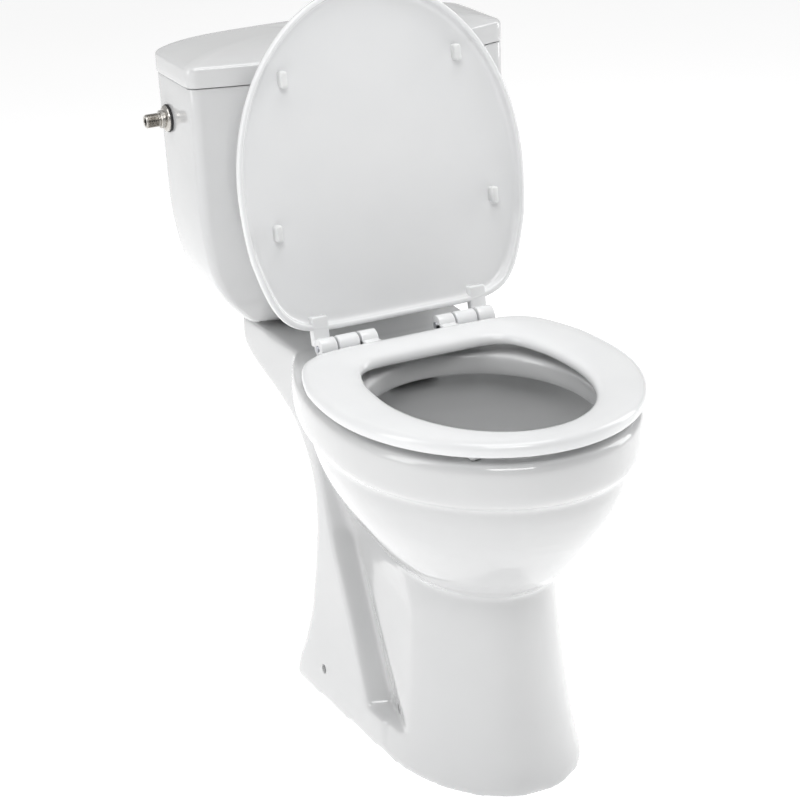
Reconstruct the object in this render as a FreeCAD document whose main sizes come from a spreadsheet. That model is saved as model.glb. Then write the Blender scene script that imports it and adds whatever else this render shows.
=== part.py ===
import FreeCAD, Part
import Sketcher
import math, os

# Close-coupled toilet, millimetres, +Z up, the user's side is -Y.
# Origin: on the floor, on the plane of symmetry, under the line of the two seat fixings.

doc = FreeCAD.newDocument("CloseCoupledToilet")
sheet = doc.addObject("Spreadsheet::Sheet", "Size")

SIZES = [
    # pan
    ("rim_top", 456), ("rim_half", 180), ("rim_front", 430), ("rim_middle", 195), ("rim_band", 58),
    ("ceramic_wall", 12), ("foot_half", 118), ("foot_front", 327), ("foot_back", 118),
    ("shelf_half", 124), ("shelf_back", 228), ("hollow_top", 432),
    ("bore_radius", 27), ("trap_wall", 11), ("outlet_height", 190), ("outlet_radius", 51),
    ("outlet_bore", 42), ("outlet_end", 190), ("floor_hole", 6), ("seat_pitch_half", 77.5),
    ("seat_hole", 8), ("flush_line", 174), ("flush_tube", 27), ("coupling_half", 74), ("coupling_hole", 5.5),
    # cistern
    ("tank_bottom", 462), ("tank_top", 779), ("tank_half", 205), ("tank_back", 228),
    ("tank_front", 71), ("tank_corner", 14), ("tank_wall", 10), ("cover_gap", 1), ("cover_side", 22), ("cover_rise", 13),
    ("inlet_height", 728), ("inlet_line", 190), ("inlet_radius", 8.3), ("inlet_reach", 30),
    # flush button and valve
    ("button_hole", 30), ("button_radius", 27), ("button_gap", 0.8),
    ("stem_radius", 3.5), ("cage_radius", 34), ("lift_tube_radius", 14),
    # seat
    ("ring_bottom", 466), ("ring_thick", 17), ("cover_bottom", 486), ("cover_thick", 17),
    ("seat_half", 183), ("seat_front", 432), ("seat_middle", 202), ("seat_back", 34),
    ("hinge_line", 16), ("hinge_height", 477), ("barrel_radius", 12), ("pin_radius", 4),
    ("open_angle", 98.5), ("soft_edge", 5),
]
for row, (word, number) in enumerate(SIZES, 1):
    sheet.set("A%d" % row, word)
    sheet.set("B%d" % row, str(number))
    sheet.setAlias("B%d" % row, word)
doc.recompute()

NODES = {}


def value(formula):
    """The number that a formula of sheet cells stands for."""
    return float(sheet.evalExpression(str(formula)))


def keep(obj, node):
    """Marks an object as one finished piece; the label is the piece's name."""
    obj.Label = node
    NODES[node] = obj
    return obj


def bind(obj, **formulas):
    for name, formula in formulas.items():
        obj.setExpression(name, str(formula))
    return obj


def put(obj, x=0, y=0, z=0, axis=None, angle=0):
    """Places an object by formulas, turned by a fixed angle about an axis."""
    turn = FreeCAD.Rotation(FreeCAD.Vector(*(axis or (0, 0, 1))), angle)
    obj.Placement = FreeCAD.Placement(FreeCAD.Vector(), turn)
    for letter, formula in zip("xyz", (x, y, z)):
        obj.setExpression("Placement.Base." + letter, str(formula))
    return obj


TURNS = {"z": (None, 0), "x": ((0, 1, 0), 90), "-x": ((0, 1, 0), -90), "y": ((1, 0, 0), -90)}


def cylinder(name, radius, length, x=0, y=0, z=0, along="z"):
    obj = bind(doc.addObject("Part::Cylinder", name), Radius=radius, Height=length)
    axis, angle = TURNS[along]
    return put(obj, x, y, z, axis, angle)


def box(name, size_x, size_y, size_z, x=0, y=0, z=0):
    """A box whose x is its middle and whose y and z are its lowest corner."""
    obj = bind(doc.addObject("Part::Box", name), Length=size_x, Width=size_y, Height=size_z)
    return put(obj, "%s - (%s) / 2" % (x, size_x), y, z)


def fuse(name, shapes):
    obj = doc.addObject("Part::MultiFuse", name)
    obj.Shapes = shapes
    return obj


def cut(name, base, tools):
    obj = doc.addObject("Part::Cut", name)
    obj.Base = base
    obj.Tool = tools[0] if len(tools) == 1 else fuse(name + "_tools", tools)
    return obj


def mirrored(name, source):
    """The same piece on the other side of the plane of symmetry."""
    obj = doc.addObject("Part::Mirroring", name)
    obj.Source = source
    obj.Normal = FreeCAD.Vector(1, 0, 0)
    return obj


def pair(node, source):
    """Two identical separate pieces, left and right, in one node."""
    group = doc.addObject("Part::Compound", node + "_pair")
    group.Links = [source, mirrored(node + "_right", source)]
    return keep(group, node)


def turned(node, corners, x=0, y=0, z=0, along="z"):
    """A turned piece: a half profile of (radius, height) corners revolved about its own Z."""
    body = doc.addObject("PartDesign::Body", node + "_body")
    sketch = body.newObject("Sketcher::SketchObject", node + "_profile")
    plane = [f for f in body.Origin.OriginFeatures if f.Role == "XZ_Plane"][0]
    sketch.AttachmentSupport = (plane, [""])
    sketch.MapMode = "FlatFace"
    points = [FreeCAD.Vector(value(r), value(h), 0) for r, h in corners]
    for i, point in enumerate(points):
        sketch.addGeometry(Part.LineSegment(point, points[(i + 1) % len(points)]))
    for i in range(len(points)):
        before = (i - 1) % len(points)
        sketch.addConstraint(Sketcher.Constraint("Coincident", before, 2, i, 1))
        for kind, formula, line in (("DistanceX", corners[i][0], -2), ("DistanceY", corners[i][1], -1)):
            if value(formula) == 0:
                sketch.addConstraint(Sketcher.Constraint("PointOnObject", i, 1, line))
                continue
            number = sketch.addConstraint(Sketcher.Constraint(kind, -1, 1, i, 1, value(formula)))
            sketch.setExpression("Constraints[%d]" % number, str(formula))
    turn = body.newObject("PartDesign::Revolution", node + "_turn")
    turn.Profile = sketch
    turn.ReferenceAxis = (sketch, ["V_Axis"])
    turn.Angle = 360
    body.Tip = turn
    axis, angle = TURNS[along]
    return put(body, x, y, z, axis, angle)


def outline(height, front, middle, half, rear_half, back, corner):
    """A closed plan outline: an elliptical nose, two long side arcs, round back corners."""
    def at(x, y):
        return FreeCAD.Vector(x, y, height)

    if middle - front >= half:
        ellipse = Part.Ellipse(at(0, front), at(half, middle), at(0, middle))
        nose = Part.ArcOfEllipse(ellipse, -math.pi / 2, math.pi / 2).toShape()
    else:
        ellipse = Part.Ellipse(at(half, middle), at(0, front), at(0, middle))
        nose = Part.ArcOfEllipse(ellipse, 0, math.pi).toShape()
    side_end = back - corner
    inward, onward = half - rear_half, side_end - middle
    if inward > 0.5:
        radius = (inward ** 2 + onward ** 2) / (2 * inward)
        swing = math.atan2(inward, onward)
        bulge = (half - radius + radius * math.cos(swing), middle + radius * math.sin(swing))
        right = Part.Arc(at(half, middle), at(*bulge), at(rear_half, side_end)).toShape()
        left = Part.Arc(at(-rear_half, side_end), at(-bulge[0], bulge[1]), at(-half, middle)).toShape()
    else:
        right = Part.makeLine(at(half, middle), at(rear_half, side_end))
        left = Part.makeLine(at(-rear_half, side_end), at(-half, middle))
    near, far = corner * (1 - math.sqrt(0.5)), corner * math.sqrt(0.5)
    turn_right = Part.Arc(at(rear_half, side_end), at(rear_half - near, side_end + far),
                          at(rear_half - corner, back)).toShape()
    rear = Part.makeLine(at(rear_half - corner, back), at(corner - rear_half, back))
    turn_left = Part.Arc(at(corner - rear_half, back), at(near - rear_half, side_end + far),
                         at(-rear_half, side_end)).toShape()
    return Part.Wire([nose, right, turn_right, rear, turn_left, left])


def wire(name, shape):
    obj = doc.addObject("Part::Feature", name)
    obj.Shape = shape
    return obj


def loft(name, shapes, ruled=False):
    obj = doc.addObject("Part::Loft", name)
    obj.Sections = [wire("%s_%d" % (name, i), shape) for i, shape in enumerate(shapes)]
    obj.Solid = True
    obj.Ruled = ruled
    return obj


def slab(name, shape, thickness):
    """A flat plate: an outline drawn out upwards."""
    obj = doc.addObject("Part::Extrusion", name)
    obj.Base = wire(name + "_outline", shape)
    obj.Dir = (0, 0, 1)
    obj.DirMode = "Custom"
    obj.Solid = True
    return bind(obj, LengthFwd=thickness)


def softened(name, base, low, high, radius):
    """Rounds the edges of a plate whose middle lies between two heights."""
    doc.recompute()
    edges = []
    for number, edge in enumerate(base.Shape.Edges, 1):
        limits = edge.BoundBox
        if limits.ZMin >= low - 0.01 and limits.ZMax <= high + 0.01:
            edges.append((number, radius, radius))
    obj = doc.addObject("Part::Fillet", name)
    obj.Base = base
    obj.Edges = edges
    return obj


# ---------------------------------------------------------------- pan

RIM, HALF, MIDDLE = value("Size.rim_top"), value("Size.rim_half"), value("Size.rim_middle")
WALL = value("Size.ceramic_wall")
NOSE = value("Size.rim_front") - MIDDLE


def bowl_outline(height, share, inset, rear):
    """The bowl's plan at one height, as a share of the rim's size."""
    half = share * HALF - inset
    return outline(height, -MIDDLE - share * NOSE + inset, -MIDDLE, half, 0.82 * half,
                   -MIDDLE + rear * share - inset, 0.45 * half)


def rim():
    band = value("Size.rim_band")
    back, corner = 36, 60
    rows = [(RIM - band, 6), (RIM - band + 14, 1), (RIM - 8, 0), (RIM, 4)]
    return loft("rim_band", [outline(z, -MIDDLE - NOSE + inset, -MIDDLE, HALF - inset, 150 - inset,
                                     back, corner) for z, inset in rows])


def bowl(name, inset, levels, rear):
    return loft(name, [bowl_outline(z, share, inset, rear) for z, share in levels])


def column(name, inset, top):
    """The front of the pedestal, from the foot up under the bowl."""
    half, front = value("Size.foot_half"), value("Size.foot_front")
    rows = [(0, half, front), (30, half - 7, front - 5), (110, half - 16, front - 19),
            (top, half - 27, front - 36)]
    if inset:
        rows[0] = (-1, half, front)
    return loft(name, [outline(z, inset - f, -150, w - inset, w - inset - 1, -60 - inset, 4)
                       for z, w, f in rows])


def rear_block():
    """The rear of the pedestal with the shelf that carries the cistern."""
    half, back = value("Size.shelf_half"), value("Size.shelf_back")
    rows = [(0, half, value("Size.foot_back")), (60, half - 1, 86), (170, half - 5, 51), (232, half - 7, 38),
            (292, half - 7, 36), (340, half - 5, 50), (372, half - 3, 96), (400, half - 1, 190),
            (420, half, back), (RIM, half, back)]
    return loft("rear_block", [outline(z, -146, -140, w, w, y, 24) for z, w, y in rows], ruled=True)


def valley(name, side, grow):
    """The slanting hollow in each flank between the column and the rear block."""
    def row(z, wall_y, deep_x, deep_y, edge_x, edge_y):
        out = 150
        corners = [(out, wall_y + grow), (deep_x + 34, wall_y + grow), (deep_x - grow, deep_y + grow),
                   (edge_x - grow, edge_y), (out, edge_y - 20)]
        points = [FreeCAD.Vector(side * x, y, z) for x, y in corners]
        return Part.makePolygon(points + points[:1])
    return loft(name, [row(45 - grow, -106, 84, -119, 108, -205), row(240, -16, 88, -30, 94, -238),
                       row(335 + grow, 20, 104, 0, 112, -190)], ruled=True)


def rounded_path(corners, radius):
    """Straight runs joined by tangent arcs, in the plane of symmetry; corners are (y, z)."""
    points = [FreeCAD.Vector(0, y, z) for y, z in corners]
    edges, start = [], points[0]
    for before, corner, after in zip(points, points[1:], points[2:]):
        incoming, outgoing = (corner - before).normalize(), (after - corner).normalize()
        half_turn = incoming.getAngle(outgoing) / 2
        reach = radius * math.tan(half_turn)
        arc_start, arc_end = corner - incoming * reach, corner + outgoing * reach
        inside = (outgoing - incoming).normalize()
        centre = corner + inside * (radius / math.cos(half_turn))
        edges.append(Part.makeLine(start, arc_start))
        edges.append(Part.Arc(arc_start, centre - inside * radius, arc_end).toShape())
        start = arc_end
    edges.append(Part.makeLine(start, points[-1]))
    return Part.Wire(edges)


def trap(name, radius, top):
    """The water trap: from the sump down, over the weir and out to the spigot."""
    outlet = value("Size.outlet_height")
    corners = [(-165, top), (-165, 112), (-70, 112), (-5, 232), (60, outlet), (140, outlet)]
    path = wire(name + "_path", rounded_path(corners, 45))
    ring = bind(doc.addObject("Part::Circle", name + "_section"), Radius=radius)
    ring.Placement.Base = FreeCAD.Vector(0, -165, top)
    tube = doc.addObject("Part::Sweep", name)
    tube.Sections = [ring]
    tube.Spine = (path, ["Edge%d" % (i + 1) for i in range(len(path.Shape.Edges))])
    tube.Solid = True
    tube.Frenet = True
    return tube


def make_pan():
    levels = [(RIM - 54, 0.935), (378, 0.91), (345, 0.86), (315, 0.77), (277, 0.64), (248, 0.5), (226, 0.39),
              (206, 0.26)]
    inner = [(RIM - 28, 0.965), (400, 0.955), (345, 0.865), (315, 0.78), (277, 0.655), (248, 0.52), (224, 0.4)]
    valleys = [valley("valley_left", -1, 0), valley("valley_right", 1, 0)]
    outside = cut("pan_outside", fuse("pan_masses", [column("column", 0, 256), rear_block(), rim()]), valleys)
    hollow_front = column("hollow_front", WALL, 244)
    hollow_rear = box("hollow_rear", "2 * (Size.shelf_half - Size.ceramic_wall - 7)", 352,
                      "Size.hollow_top + 1", 0, -138, -1)
    inner_valleys = [valley("inner_valley_left", -1, WALL), valley("inner_valley_right", 1, WALL)]
    hollow = cut("pan_hollow", fuse("hollow_spaces", [hollow_front, hollow_rear]), inner_valleys)
    shell = cut("pan_shell", outside, [hollow])
    wall_radius = "Size.bore_radius + Size.trap_wall"
    additions = [
        shell, bowl("bowl_outside", 0, levels, 166), trap("trap_outside", wall_radius, 236),
        cylinder("spigot_outside", "Size.outlet_radius", "Size.outlet_end - 50", 0, 50,
                 "Size.outlet_height", "y"),
        cylinder("duct_outside", 35, 215, 0, -40, 400, "y"),
        cylinder("inlet_boss", 50, "Size.hollow_top + 4 - 385", 0, "Size.flush_line", 385),
    ]
    tools = [bowl("bowl_inside", WALL, inner, 166)]
    opening = [outline(z, -385, -215, 128, 112, -62, 60) for z in (RIM - 30, RIM + 1)]
    tools.append(loft("rim_opening", opening))
    tools.append(trap("trap_inside", "Size.bore_radius", 250))
    tools += [
        cylinder("spigot_inside", "Size.outlet_bore", "Size.outlet_end - 60", 0, 62,
                 "Size.outlet_height", "y"),
        cylinder("duct_inside", 22, 240, 0, -80, 400, "y"),
        cylinder("duct_drop", 26, 60, 0, "Size.flush_line", 400),
        cylinder("inlet_mouth", 36, 30, 0, "Size.flush_line", "Size.rim_top - 16"),
    ]
    for side, word in ((-1, "left"), (1, "right")):
        tools.append(cylinder("seat_hole_" + word, "Size.seat_hole", 60, "%d * Size.seat_pitch_half" % side,
                              0, "Size.rim_top - 50"))
        tools.append(cylinder("coupling_hole_" + word, "Size.coupling_hole", 60,
                              "%d * Size.coupling_half" % side, "Size.flush_line", "Size.rim_top - 50"))
        away = "x" if side > 0 else "-x"
        tools.append(cylinder("floor_hole_rear_" + word, "Size.floor_hole", 60, 85 * side, 16, 43, away))
        tools.append(cylinder("floor_hole_front_" + word, "Size.floor_hole", 70, 62 * side, -150, 56, away))
    keep(cut("pan_ceramic", fuse("pan_solid", additions), tools), "pan")


make_pan()

# ---------------------------------------------------------------- cistern


def tank_outline(height, half, front, inset):
    """Flat back and sides, a bowed front between two rounded corners."""
    back, corner = value("Size.tank_back") - inset, value("Size.tank_corner") - inset
    half -= inset
    side = front + inset + 30 + corner

    def at(x, y):
        return FreeCAD.Vector(x, y, height)

    near = corner * (1 - math.sqrt(0.5))
    rear = 14 - inset / 2
    rear_near = rear * (1 - math.sqrt(0.5))
    shoulder = (half - corner, side - corner)
    edges = [Part.Arc(at(-shoulder[0], shoulder[1]), at(0, front + inset), at(*shoulder))]
    edges.append(Part.Arc(at(*shoulder), at(half - near, side - corner + near), at(half, side)))
    edges.append(Part.LineSegment(at(half, side), at(half, back - rear)))
    edges.append(Part.Arc(at(half, back - rear), at(half - rear_near, back - rear_near), at(half - rear, back)))
    edges.append(Part.LineSegment(at(half - rear, back), at(rear - half, back)))
    edges.append(Part.Arc(at(rear - half, back), at(rear_near - half, back - rear_near),
                          at(-half, back - rear)))
    edges.append(Part.LineSegment(at(-half, back - rear), at(-half, side)))
    edges.append(Part.Arc(at(-half, side), at(near - half, side - corner + near),
                          at(-shoulder[0], shoulder[1])))
    return Part.Wire([edge.toShape() for edge in edges])


def make_tank():
    half, front, top = value("Size.tank_half"), value("Size.tank_front"), value("Size.tank_top")
    low, wall = value("Size.tank_bottom"), value("Size.tank_wall")
    rows = [(low, half - 73, front + 62), (low + 14, half - 60, front + 52), (low + 30, half - 45, front + 41),
            (low + 48, half - 31, front + 30), (low + 72, half - 18, front + 19),
            (low + 98, half - 9, front + 11), (low + 126, half - 4.5, front + 6),
            (low + 158, half - 2, front + 3), (top, half, front)]
    outer = loft("tank_outside", [tank_outline(z, w, y, 0) for z, w, y in rows], ruled=True)
    inner_rows = [(low + wall, half - 66, front + 53)] + rows[3:-1] + [(top + 1, half, front)]
    inner = loft("tank_inside", [tank_outline(z, w, y, wall) for z, w, y in inner_rows], ruled=True)
    tools = [inner, cylinder("tank_flush_hole", "Size.flush_tube + 0.5", 40, 0, "Size.flush_line",
                             "Size.tank_bottom - 10"),
             cylinder("tank_inlet_hole", "Size.inlet_radius + 0.7", 60, "-Size.tank_half - 20",
                      "Size.inlet_line", "Size.inlet_height", "x")]
    for side, word in ((-1, "left"), (1, "right")):
        tools.append(cylinder("tank_coupling_hole_" + word, "Size.coupling_hole", 40,
                              "%d * Size.coupling_half" % side, "Size.flush_line", "Size.tank_bottom - 10"))
    keep(cut("tank_ceramic", outer, tools), "cistern_tank")


def make_cover():
    """The cistern's lift-off cover: straight sides, a soft shoulder and a shallow crown."""
    half, front = value("Size.tank_half") + 2, value("Size.tank_front") - 3
    low = value("Size.tank_top") + value("Size.cover_gap")
    side, rise = value("Size.cover_side"), value("Size.cover_rise")
    crown = low + side + rise
    rows = [(low, 0), (low + side, 0.5), (low + side + 6, 5), (crown - 3, 16), (crown, 34)]
    outer = loft("cover_outside", [tank_outline(z, half - inset, front + inset, 0) for z, inset in rows], True)
    inner = loft("cover_inside", [tank_outline(z, half, front, 9) for z in (low - 1, low + side - 1)])
    tools = [inner, cylinder("cover_hole", "Size.button_hole", 60, 0, "Size.flush_line", low)]
    keep(cut("cover_ceramic", outer, tools), "cistern_lid")


make_tank()
make_cover()

# ---------------------------------------------------------------- cistern fittings


def make_inlet():
    """The side-entry float valve: a threaded tail through the wall, an arm and a float inside."""
    wall_face = "-Size.tank_half"
    tail = turned("inlet_tail", [
        (4.5, 0), (7.3, 0), ("Size.inlet_radius", 1.2), ("Size.inlet_radius", 16.2), (7.6, 16.2), (7.6, 17.4),
        ("Size.inlet_radius", 17.4), ("Size.inlet_radius", 44.3), (15, 44.3), (15, 50), (13, 50), (13, 82),
        (4.5, 82)], wall_face + " - Size.inlet_reach", "Size.inlet_line",
        "Size.inlet_height", "x")
    keep(tail, "inlet_tail")
    keep(turned("inlet_washer", [
        ("Size.inlet_radius + 0.4", 0), (17, 0), (17, 2.6), ("Size.inlet_radius + 0.4", 2.6)],
        wall_face + " - 2.8", "Size.inlet_line", "Size.inlet_height", "x"), "inlet_washer")
    keep(turned("inlet_flange_nut", [
        ("Size.inlet_radius + 0.05", 0), (11, 0), (11, 5), (16, 7.5), (16, 9), ("Size.inlet_radius + 0.05", 9)],
        wall_face + " - 12", "Size.inlet_line", "Size.inlet_height", "x"), "inlet_flange_nut")
    keep(turned("inlet_inner_washer", [
        ("Size.inlet_radius + 0.4", 0), (14.5, 0), (14.5, 2.6), ("Size.inlet_radius + 0.4", 2.6)],
        wall_face + " + Size.tank_wall + 1.6", "Size.inlet_line", "Size.inlet_height", "x"),
        "inlet_inner_washer")
    pivot_x, pivot_z = -146, "Size.inlet_height + 22"
    lug = box("valve_lug", 9, 16, 19, pivot_x, "Size.inlet_line - 8", "Size.inlet_height + 8")
    collar = cylinder("valve_collar", 17, 22, -162, "Size.inlet_line", "Size.inlet_height", "x")
    seat_hole = cylinder("valve_socket", 13.02, 40, -165, "Size.inlet_line", "Size.inlet_height", "x")
    pin_hole = cylinder("valve_pin_hole", 2.05, 40, pivot_x, "Size.inlet_line - 20", pivot_z, "y")
    keep(cut("valve_body", fuse("valve_solid", [collar, lug]), [seat_hole, pin_hole]), "float_valve_body")
    keep(cylinder("float_pin", 2, 30, pivot_x, "Size.inlet_line - 15", pivot_z, "y"), "float_pin")
    fork = []
    for side, word in ((-1, "front"), (1, "rear")):
        cheek = box("arm_cheek_" + word, 14, 3, 11, pivot_x, "Size.inlet_line + %g" % (10.5 * side - 1.5),
                    "Size.inlet_height + 18")
        fork.append(cheek)
    fork.append(box("arm_bridge", 4, 24, 7.5, pivot_x + 9, "Size.inlet_line - 12", "Size.inlet_height + 21"))
    fork.append(box("arm_beam", 43, 6, 7, pivot_x + 31.5, "Size.inlet_line - 3", "Size.inlet_height + 19"))
    fork.append(cylinder("arm_stem", 3, 40, pivot_x + 50, "Size.inlet_line", "Size.inlet_height - 16"))
    hole = cylinder("arm_pin_hole", 2.08, 40, pivot_x, "Size.inlet_line - 20", pivot_z, "y")
    keep(cut("arm_solid", fuse("arm_parts", fork), [hole]), "float_arm")
    keep(turned("float_cup", [
        (3.05, 46), (3.05, 54), (16, 54), (18, 52), (18, 2), (16, 0), (0, 0), (0, 46)],
        pivot_x + 50, "Size.inlet_line", "Size.inlet_height - 62"), "float_cup")


def make_flush_valve():
    """The two-part flush valve: a base bolted through the cistern floor, a cage and a lifting tube."""
    line, floor = "Size.flush_line", "Size.tank_bottom + Size.tank_wall"
    keep(turned("valve_base_washer", [
        ("Size.flush_tube + 0.3", 0), (35, 0), (35, 2.5), ("Size.flush_tube + 0.3", 2.5)], 0, line,
        floor + " + 0.1"), "valve_base_washer")
    keep(turned("flush_valve_base", [
        (21, -28), ("Size.flush_tube", -28), ("Size.flush_tube", 2.7), (36, 2.7), (36, 6),
        ("Size.cage_radius", 8), ("Size.cage_radius", 12), (23, 12), (21, 10)], 0, line, floor),
        "flush_valve_base")
    keep(turned("flush_back_nut", [
        ("Size.flush_tube + 0.05", 0), (33, 0), (34, 2), (34, 7), ("Size.flush_tube + 0.05", 9)], 0, line,
        "Size.tank_bottom - 9.4"), "flush_back_nut")
    keep(turned("doughnut_gasket", [(34.6, 0), (49, 0), (50, 2), (50, 4), (49, 5.6), (34.6, 5.6)], 0, line,
                "Size.rim_top + 0.2"), "doughnut_gasket")
    cage_low = floor + " + 12.2"
    tube = cylinder("cage_outside", "Size.cage_radius", 158, 0, line, cage_low)
    bore = cylinder("cage_inside", "Size.cage_radius - 2.5", 158, 0, line, cage_low)
    windows = [bore]
    windows.append(box("cage_window_across", 100, 30, 46, 0, line + " - 15", cage_low + " + 6"))
    windows.append(box("cage_window_along", 30, 100, 46, 0, line + " - 50", cage_low + " + 6"))
    keep(cut("cage_solid", tube, windows), "flush_cage")
    head = turned("actuator_head", [
        ("Size.cage_radius - 4", 0), ("Size.cage_radius", 0), ("Size.cage_radius", 30), (0, 30), (0, 26),
        ("Size.cage_radius - 4", 26)], 0, line,
        cage_low + " + 158.2")
    holes = [cylinder("head_hole_%s" % word, "Size.stem_radius + 1", 20, x, line, cage_low + " + 175")
             for word, x in (("full", -9), ("half", 17))]
    keep(cut("head_solid", head, holes), "actuator_head")
    keep(turned("flush_seal", [(15, 0), (29, 0), (29, 3), (15, 3)], 0, line, floor + " + 12.5"), "flush_seal")
    keep(turned("lift_tube", [
        (11.5, 0), ("Size.lift_tube_radius", 0), ("Size.lift_tube_radius", 3.2), (29, 3.2), (29, 7),
        ("Size.lift_tube_radius", 7), ("Size.lift_tube_radius", 150), (11.5, 150)], 0, line,
        floor + " + 12.5"), "lift_tube")


def make_coupling():
    """The two bolts that hold the cistern down on the pan, with their rubber washers and wing nuts."""
    place = ("-Size.coupling_half", "Size.flush_line")
    floor = "Size.tank_bottom + Size.tank_wall"
    pair("coupling_bolts", turned("coupling_bolt", [
        (0, -62), (4, -62), (4, 3), (11, 3), (11, 5.5), (7, 8), (0, 8)], *place, floor))
    pair("coupling_washers", turned("coupling_washer", [(4.2, 0), (13, 0), (13, 2.7), (4.2, 2.7)], *place,
                                    floor + " + 0.1"))
    pair("cistern_pads", turned("cistern_pad", [(5.8, 0), (14, 0), (14, 5.6), (5.8, 5.6)], *place,
                                "Size.rim_top + 0.2"))
    pair("coupling_wing_nuts", wing_nut("coupling_wing_nut", *place, "Size.hollow_top - 11.2"))


def wing_nut(name, x, y, z):
    """A nut with two flat wings and a flange that bears on the rubber under the ceramic."""
    hub = cylinder(name + "_hub", 8, 11, x, y, z)
    flange = cylinder(name + "_flange", 12, 2.2, x, y, "%s + 8.8" % z)
    wings = box(name + "_wings", 30, 3, 9, x, "%s - 1.5" % y, "%s - 2" % z)
    bore = cylinder(name + "_bore", 4.05, 40, x, y, "%s - 15" % z)
    return cut(name + "_solid", fuse(name + "_parts", [hub, flange, wings]), [bore])


def half_round(name, radius, low, high, edge, keep_left):
    """A segment of a disc, left or right of a straight parting line."""
    disc = cylinder(name + "_disc", radius, "%s - (%s)" % (high, low), 0, "Size.flush_line", low)
    middle = "%s %s 50" % (edge, "+" if keep_left else "-")
    return cut(name + "_segment", disc, [box(name + "_beyond", 100, 100, 60, middle,
                                             "Size.flush_line - 50", "%s - 20" % low)])


def make_buttons():
    """The dual flush button: a chromed ring and threaded barrel, its nut, and two sprung halves."""
    top = "Size.tank_top + Size.cover_gap + Size.cover_side + Size.cover_rise"
    line = "Size.flush_line"
    keep(turned("button_bezel", [
        ("Size.button_radius + 0.5", -34), ("Size.button_hole - 0.4", -34), ("Size.button_hole - 0.4", 0.3),
        (36, 0.3), (36, 1.4), (34, 3.2), (29, 3.6), ("Size.button_radius + 0.5", 2.4)], 0, line, top),
        "button_bezel")
    keep(turned("button_nut", [
        ("Size.button_hole - 0.35", 0), (38, 0), (38, 8), ("Size.button_hole - 0.35", 8)], 0, line,
        top + " - 23"), "button_nut")
    stem_low = "Size.tank_bottom + Size.tank_wall + 12.2 + 172"
    for word, x, split, left in (("full", -9, "7 - Size.button_gap / 2", True),
                                 ("half", 17, "7 + Size.button_gap / 2", False)):
        cap = half_round(word + "_cap", "Size.button_radius - 0.1", top + " - 9", top + " + 2", split, left)
        stem = cylinder(word + "_stem", "Size.stem_radius", "%s - 5 - (%s)" % (top, stem_low), x, line,
                        stem_low)
        keep(fuse(word + "_flush", [cap, stem]), word + "_flush_button")


make_inlet()
make_flush_valve()
make_coupling()
make_buttons()

# ---------------------------------------------------------------- seat

HINGE = FreeCAD.Vector(0, -value("Size.hinge_line"), value("Size.hinge_height"))
KNUCKLE = 21


def opened(obj, node):
    """Stands a piece of the lid, drawn closed, in its open place."""
    turn = FreeCAD.Rotation(FreeCAD.Vector(-1, 0, 0), value("Size.open_angle"))
    obj.Placement = FreeCAD.Placement(FreeCAD.Vector(), turn, HINGE).multiply(obj.Placement)
    return keep(obj, node)


def seat_outline(height, inset=0.0):
    half = value("Size.seat_half") - inset
    return outline(height, -value("Size.seat_front") + inset, -value("Size.seat_middle"), half,
                   151 - inset, -value("Size.seat_back") - inset, 52 - inset)


def knuckle(name, x, arm_low, arm_high):
    """A hinge barrel on the seat axis with its arm, on both sides of the seat."""
    parts = []
    for side, word in ((-1, "left"), (1, "right")):
        middle = side * x
        parts.append(cylinder("%s_barrel_%s" % (name, word), "Size.barrel_radius", KNUCKLE,
                              middle - KNUCKLE / 2, "-Size.hinge_line", "Size.hinge_height", "x"))
        parts.append(box("%s_arm_%s" % (name, word), KNUCKLE, 36, "%s - (%s)" % (arm_high, arm_low), middle,
                         "-Size.hinge_line - 36", arm_low))
    return parts


def make_ring():
    low, high = value("Size.ring_bottom"), value("Size.ring_bottom") + value("Size.ring_thick")
    plate = slab("ring_plate", seat_outline(low), "Size.ring_thick")
    hole = slab("ring_opening", outline(low - 5, -385, -212, 118, 104, -88, 62), 40)
    plate = softened("ring_soft", cut("ring_flat", plate, [hole]), high, high, value("Size.soft_edge") + 2)
    arms = knuckle("ring_knuckle", 51, "Size.hinge_height - 9", "Size.ring_bottom + Size.ring_thick - 2")
    bore = cylinder("ring_pin_bore", "Size.pin_radius + 0.06", 300, -150, "-Size.hinge_line",
                    "Size.hinge_height", "x")
    keep(cut("ring_solid", fuse("ring_parts", [plate] + arms), [bore]), "seat_ring")
    pads = []
    for i, (x, y) in enumerate(((146, -118), (86, -371))):
        pad = box("ring_pad_%d" % i, 15, 34 - 12 * i, "Size.ring_bottom - Size.rim_top - 0.4", x,
                  y - 17 + 6 * i, "Size.rim_top + 0.4")
        pads += [pad, mirrored("ring_pad_%d_right" % i, pad)]
    group = doc.addObject("Part::Compound", "ring_pads")
    group.Links = pads
    keep(group, "ring_buffers")


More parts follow.
